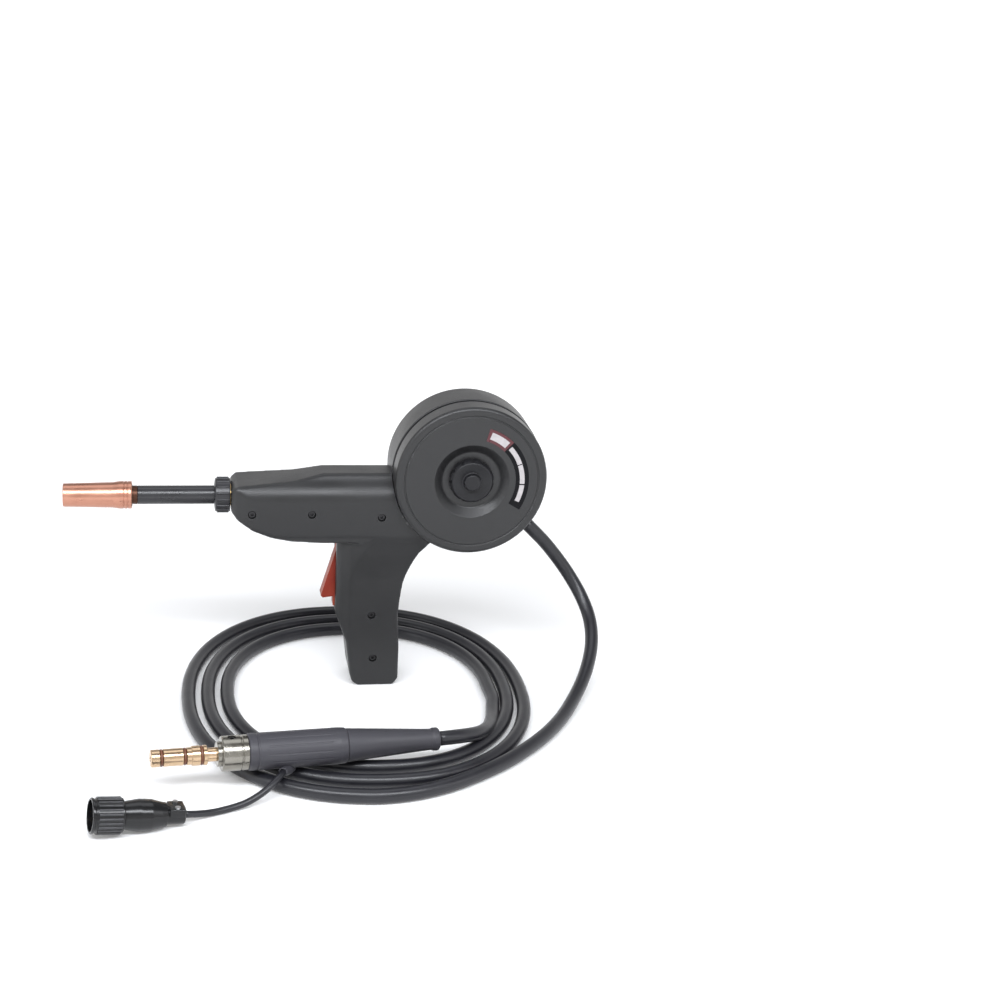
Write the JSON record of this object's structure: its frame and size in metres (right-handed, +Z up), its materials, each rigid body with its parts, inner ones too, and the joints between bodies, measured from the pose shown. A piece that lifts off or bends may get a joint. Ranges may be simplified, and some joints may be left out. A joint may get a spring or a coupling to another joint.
{
  "type": "wire feeder",
  "caption": "Pistol-grip welding wire feeder with a round spool case, copper nozzle, red trigger and a coiled power cable with a brass gun plug.",
  "frame": {"origin": "centre of the flat foot of the pistol grip, on the floor it stands on", "axes": "+X away from the nozzle, along the wire line; -Y the side of the spool cover; +Z up"},
  "size_m": [0.4362, 0.3893, 0.2419],
  "materials": {
    "body_plastic": "fine moulded texture, satin black",
    "cover_plastic": "satin black, turned-looking face",
    "knob_plastic": "satin black",
    "hub_nylon": "natural black nylon",
    "friction_fibre": "pressed fibre",
    "bright_steel": "turned and zinc plated",
    "spring_steel": "drawn wire",
    "black_oxide": "black oxide",
    "trigger_red": "satin moulded",
    "switch_plastic": "moulded",
    "motor_steel": "drawn can",
    "cast_aluminium": "die cast",
    "turned_brass": "turned",
    "insulator": "pressed laminate",
    "nozzle_copper": "turned copper, lightly tarnished",
    "tube_black": "satin sleeve",
    "cable_rubber": "smooth rubber jacket",
    "boot_rubber": "moulded rubber",
    "plug_nickel": "nickel plate, worn",
    "gloss_black": "glossy moulded"
  },
  "bodies": {
    "root": {"housing_left": "body_plastic", "housing_right": "body_plastic", "housing_screws": "bright_steel", "spool_case": "body_plastic", "case_screws": "bright_steel", "cable_duct": "body_plastic", "spindle_stud": "bright_steel", "brake_washer": "friction_fibre", "brake_spring": "spring_steel", "spring_washer": "bright_steel", "spindle_nut": "bright_steel", "trigger_pin": "bright_steel", "trigger_spring": "spring_steel", "microswitch": "switch_plastic", "motor_end_cap": "switch_plastic", "motor_can": "motor_steel", "gearhead": "motor_steel", "feed_plate": "cast_aluminium", "shaft_bushes": "turned_brass", "arm_pin": "bright_steel", "pressure_spring": "spring_steel", "wire_guides": "turned_brass", "insulating_pad": "insulator", "power_block": "turned_brass", "power_lead": "cable_rubber", "tube_adaptor": "turned_brass", "tube_nut": "tube_black", "conductor_tube": "nozzle_copper", "tube_jacket": "tube_black", "wire_liner": "spring_steel", "gas_diffuser": "turned_brass", "nozzle_insulator": "insulator", "contact_tip": "nozzle_copper", "nozzle": "nozzle_copper", "cable_gland": "boot_rubber", "cable_boot": "boot_rubber", "power_cable": "cable_rubber", "cable_coil": "cable_rubber", "cable_tail": "cable_rubber", "connector_boot": "boot_rubber", "connector_handle": "boot_rubber", "plug_block": "plug_nickel", "gun_plug": "turned_brass", "control_lead": "cable_rubber", "control_plug": "gloss_black"},
    "cover": {"spool_cover": "cover_plastic"},
    "knob": {"cover_knob": "knob_plastic", "knob_insert": "turned_brass"},
    "hub": {"spool_hub": "hub_nylon"},
    "trigger": {"trigger": "trigger_red"},
    "plunger": {"switch_plunger": "trigger_red"},
    "motor_shaft": {"motor_pinion": "bright_steel"},
    "feed_shaft": {"drive_shaft": "bright_steel", "drive_gear": "turned_brass", "drive_roll": "bright_steel", "roll_screw": "black_oxide"},
    "pressure_arm": {"pressure_arm": "cast_aluminium", "idler_pin": "bright_steel"},
    "idler": {"idler_roll": "bright_steel"},
    "coupling_ring": {"coupling_ring": "gloss_black"}
  },
  "joints": [
    {"name": "cover_slide", "type": "slide", "parent": "root", "child": "cover", "axis": [0, -1, 0], "range_m": [0, 0.12]},
    {"name": "cover_knob_turn", "type": "hinge", "parent": "cover", "child": "knob", "pos_m": [0.07, 0, 0.1805], "axis": [0, -1, 0], "continuous": true},
    {"name": "spool_hub_spin", "type": "hinge", "parent": "root", "child": "hub", "pos_m": [0.07, 0, 0.1805], "axis": [0, -1, 0], "continuous": true},
    {"name": "trigger_pull", "type": "hinge", "parent": "root", "child": "trigger", "pos_m": [-0.026, 0, 0.117], "axis": [0, -1, 0], "range_deg": [0, 8], "stiffness_Nm_per_rad": 1, "springref_deg": -5.73},
    {"name": "switch_plunger_press", "type": "slide", "parent": "root", "child": "plunger", "axis": [1, 0, 0], "range_m": [0, 0.0018]},
    {"name": "feed_shaft_spin", "type": "hinge", "parent": "root", "child": "feed_shaft", "pos_m": [-0.00882, -0.0095, 0.15], "axis": [0, 0, 1], "continuous": true},
    {"name": "motor_shaft_spin", "type": "hinge", "parent": "root", "child": "motor_shaft", "pos_m": [0.002, 0, 0.137], "axis": [0, 0, 1], "continuous": true},
    {"name": "pressure_arm_lift", "type": "hinge", "parent": "root", "child": "pressure_arm", "pos_m": [-0.027, 0.015, 0.16], "axis": [0, 0, 1], "range_deg": [0, 12], "stiffness_Nm_per_rad": 2, "springref_deg": -11.46},
    {"name": "idler_roll_spin", "type": "hinge", "parent": "pressure_arm", "child": "idler", "pos_m": [-0.00882, 0.0085, 0.159], "axis": [0, 0, 1], "continuous": true},
    {"name": "coupling_ring_turn", "type": "hinge", "parent": "root", "child": "coupling_ring", "pos_m": [-0.155, -0.237, 0.0074], "axis": [-0.9715, -0.1977, 0.1305], "continuous": true}
  ],
  "couplings": [
    {"joint": "switch_plunger_press", "follows": "trigger_pull", "m_per_rad": 0.012},
    {"joint": "motor_shaft_spin", "follows": "feed_shaft_spin", "ratio": -2}
  ]
}
